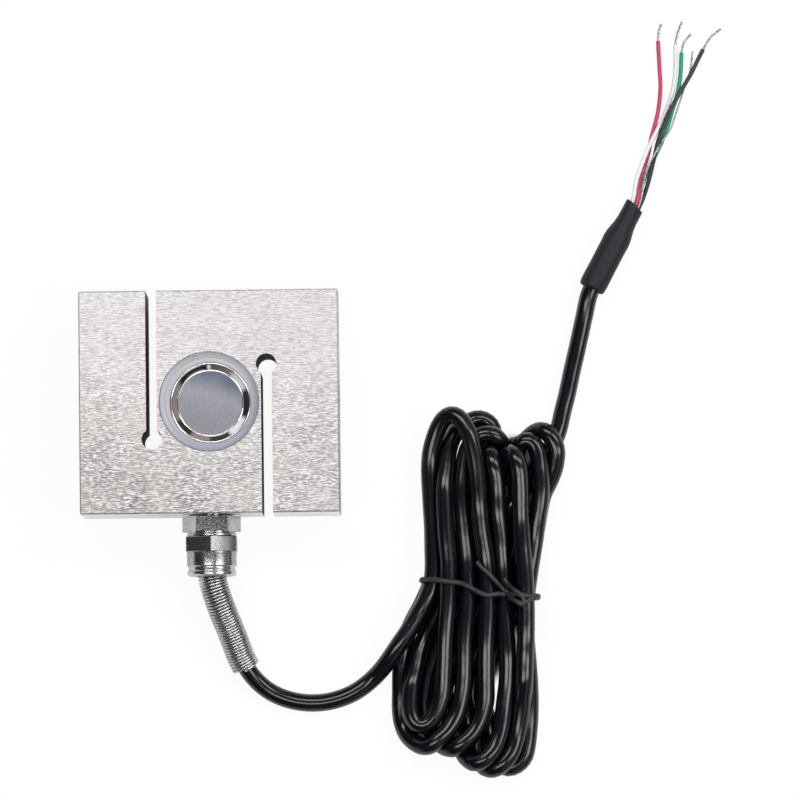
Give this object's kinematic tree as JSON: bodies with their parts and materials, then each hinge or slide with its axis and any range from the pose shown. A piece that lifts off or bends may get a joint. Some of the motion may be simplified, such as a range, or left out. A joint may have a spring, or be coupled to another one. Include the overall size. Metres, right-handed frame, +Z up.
{
  "type": "s-type load cell",
  "caption": "Flat steel block cut to an S by two slots, with a potted gauge bore, blind threaded load holes, a cable gland with a spring guard and a hanked cable with stripped cores",
  "frame": {"origin": "middle of the block's lower face, on the surface that the block, the hank and the cable lie on", "axes": "+X is the loading axis, to the right in the picture; +Y points away from the gland, along the block's width; +Z is up, along the gauge bore, out of the pictured face"},
  "size_m": [0.1488, 0.1748, 0.019],
  "materials": {
    "nickel_plate": "nickel-plated alloy steel with a fine brushed grain",
    "polished_steel": "bright drawn sheet with a satin floor",
    "silicone": "translucent grey potting compound",
    "gauge_foil": "amber polyimide film carrying a foil grid",
    "board_laminate": "green glass-fibre laminate",
    "lead_enamel": null,
    "rubber": "black moulded rubber",
    "nickel_brass": "brass with bright nickel plate",
    "spring_steel": "bright spring wire",
    "cable_jacket": "smooth black jacket",
    "tie_cover": "black plastic cover over a soft wire",
    "shrink_tube": "dull black shrink tube",
    "core_red": "red core insulation",
    "core_white": "white core insulation",
    "core_green": "green core insulation",
    "core_black": "black core insulation",
    "tinned_copper": "bright tinned copper strands"
  },
  "bodies": {
    "root": {"body_block": "nickel_plate", "front_cup": "polished_steel", "back_cup": "polished_steel", "front_potting_ring": "silicone", "back_potting_ring": "silicone", "strain_gauge_1": "gauge_foil", "strain_gauge_2": "gauge_foil", "strain_gauge_3": "gauge_foil", "strain_gauge_4": "gauge_foil", "terminal_board": "board_laminate", "gauge_lead_1": "lead_enamel", "gauge_lead_2": "lead_enamel", "gauge_lead_3": "lead_enamel", "gauge_lead_4": "lead_enamel", "cable_core_lead_1": "lead_enamel", "cable_core_lead_2": "lead_enamel", "cable_core_lead_3": "lead_enamel", "cable_core_lead_4": "lead_enamel", "gland_sealing_ring": "rubber", "gland_body": "nickel_brass", "gland_nut": "nickel_brass", "gland_seal": "rubber", "spring_guard": "spring_steel", "cable_lead_in": "cable_jacket", "cable_hank": "cable_jacket", "cable_lead_out": "cable_jacket", "twist_tie": "tie_cover", "heat_shrink_sleeve": "shrink_tube", "red_wire": "core_red", "white_wire": "core_white", "green_wire": "core_green", "black_wire": "core_black", "red_wire_tip": "tinned_copper", "white_wire_tip": "tinned_copper", "green_wire_tip": "tinned_copper", "black_wire_tip": "tinned_copper", "drain_wire": "tinned_copper"}
  },
  "joints": []
}
